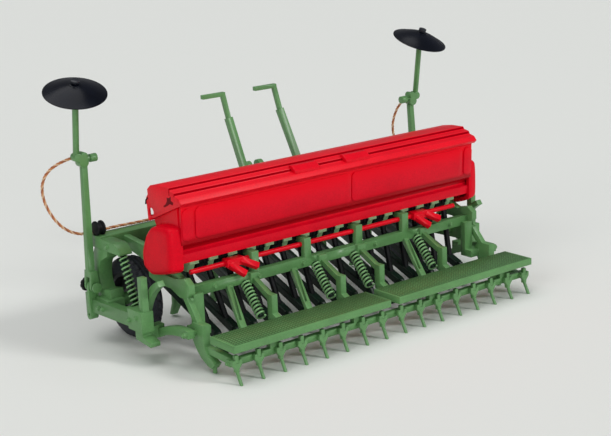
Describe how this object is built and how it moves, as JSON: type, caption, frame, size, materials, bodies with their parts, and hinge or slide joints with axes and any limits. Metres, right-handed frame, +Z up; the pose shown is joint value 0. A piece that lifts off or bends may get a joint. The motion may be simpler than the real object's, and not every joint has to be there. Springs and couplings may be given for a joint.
{
  "type": "scale model seed drill",
  "caption": "Die-cast scale model of a tractor-mounted seed drill with hopper, coulters, harrow, wheels and folding row markers.",
  "frame": {"origin": "centre of the footprint, on the ground the wheels and harrow tines stand on", "axes": "+X to the machine's right, +Y forward towards the tractor, +Z up"},
  "size_m": [0.1214, 0.0589, 0.0632],
  "materials": {
    "green": "satin",
    "red": "gloss",
    "black": "satin",
    "tyre": "matte",
    "rim": "satin",
    "rope": "matte"
  },
  "bodies": {
    "frame": {"beam_pulleys": "black", "control_levers": "green", "coulter_arms": "black", "coulter_bar": "green", "drive_shaft": "red", "end_covers": "red", "end_frames": "green", "fork_levers": "red", "front_beam": "green", "harrow_bar": "green", "harrow_clamps": "green", "harrow_tines": "green", "headstock": "green", "hopper": "red", "hopper_brackets": "green", "marker_lugs": "green", "metering_units": "green", "pivot_knobs": "black", "pressure_springs": "green", "rear_rail": "green", "rope_left": "rope", "rope_right": "rope", "seed_tubes": "black", "side_frame_left": "green", "side_frame_right": "green", "slanted_channels": "green", "step_brackets": "green", "steps": "green", "track_looseners": "green", "wheel_axles": "green", "wheel_springs": "green"},
    "lid": {"lid": "red", "lid_catches": "red"},
    "wheel_left": {"tyre_left": "tyre", "rim_left": "rim"},
    "marker_left": {"marker_arm_left": "green", "marker_clamp_left": "green", "marker_rod_left": "green"},
    "disc_left": {"marker_disc_left": "black"},
    "wheel_right": {"tyre_right": "tyre", "rim_right": "rim"},
    "marker_right": {"marker_arm_right": "green", "marker_clamp_right": "green", "marker_rod_right": "green"},
    "disc_right": {"marker_disc_right": "black"}
  },
  "joints": [
    {"name": "lid_hinge", "type": "hinge", "parent": "frame", "child": "lid", "pos_m": [0, 0.0031, 0.0316], "axis": [-1, 0, 0], "range_deg": [0, 75]},
    {"name": "wheel_left_spin", "type": "hinge", "parent": "frame", "child": "wheel_left", "pos_m": [-0.0435, 0.0158, 0.0098], "axis": [1, 0, 0], "continuous": true},
    {"name": "marker_left_fold", "type": "hinge", "parent": "frame", "child": "marker_left", "pos_m": [-0.0522, 0.02, 0.0133], "axis": [0, -1, 0], "range_deg": [0, 90], "deforming": ["rope_left"]},
    {"name": "disc_left_spin", "type": "hinge", "parent": "marker_left", "child": "disc_left", "pos_m": [-0.0533, 0.0186, 0.0599], "axis": [-0.09, -0.346, 0.9339], "continuous": true},
    {"name": "wheel_right_spin", "type": "hinge", "parent": "frame", "child": "wheel_right", "pos_m": [0.0435, 0.0158, 0.0098], "axis": [1, 0, 0], "continuous": true},
    {"name": "marker_right_fold", "type": "hinge", "parent": "frame", "child": "marker_right", "pos_m": [0.0522, 0.02, 0.0133], "axis": [0, 1, 0], "range_deg": [0, 90], "deforming": ["rope_right"]},
    {"name": "disc_right_spin", "type": "hinge", "parent": "marker_right", "child": "disc_right", "pos_m": [0.0533, 0.0186, 0.0599], "axis": [0.09, -0.346, 0.9339], "continuous": true}
  ]
}
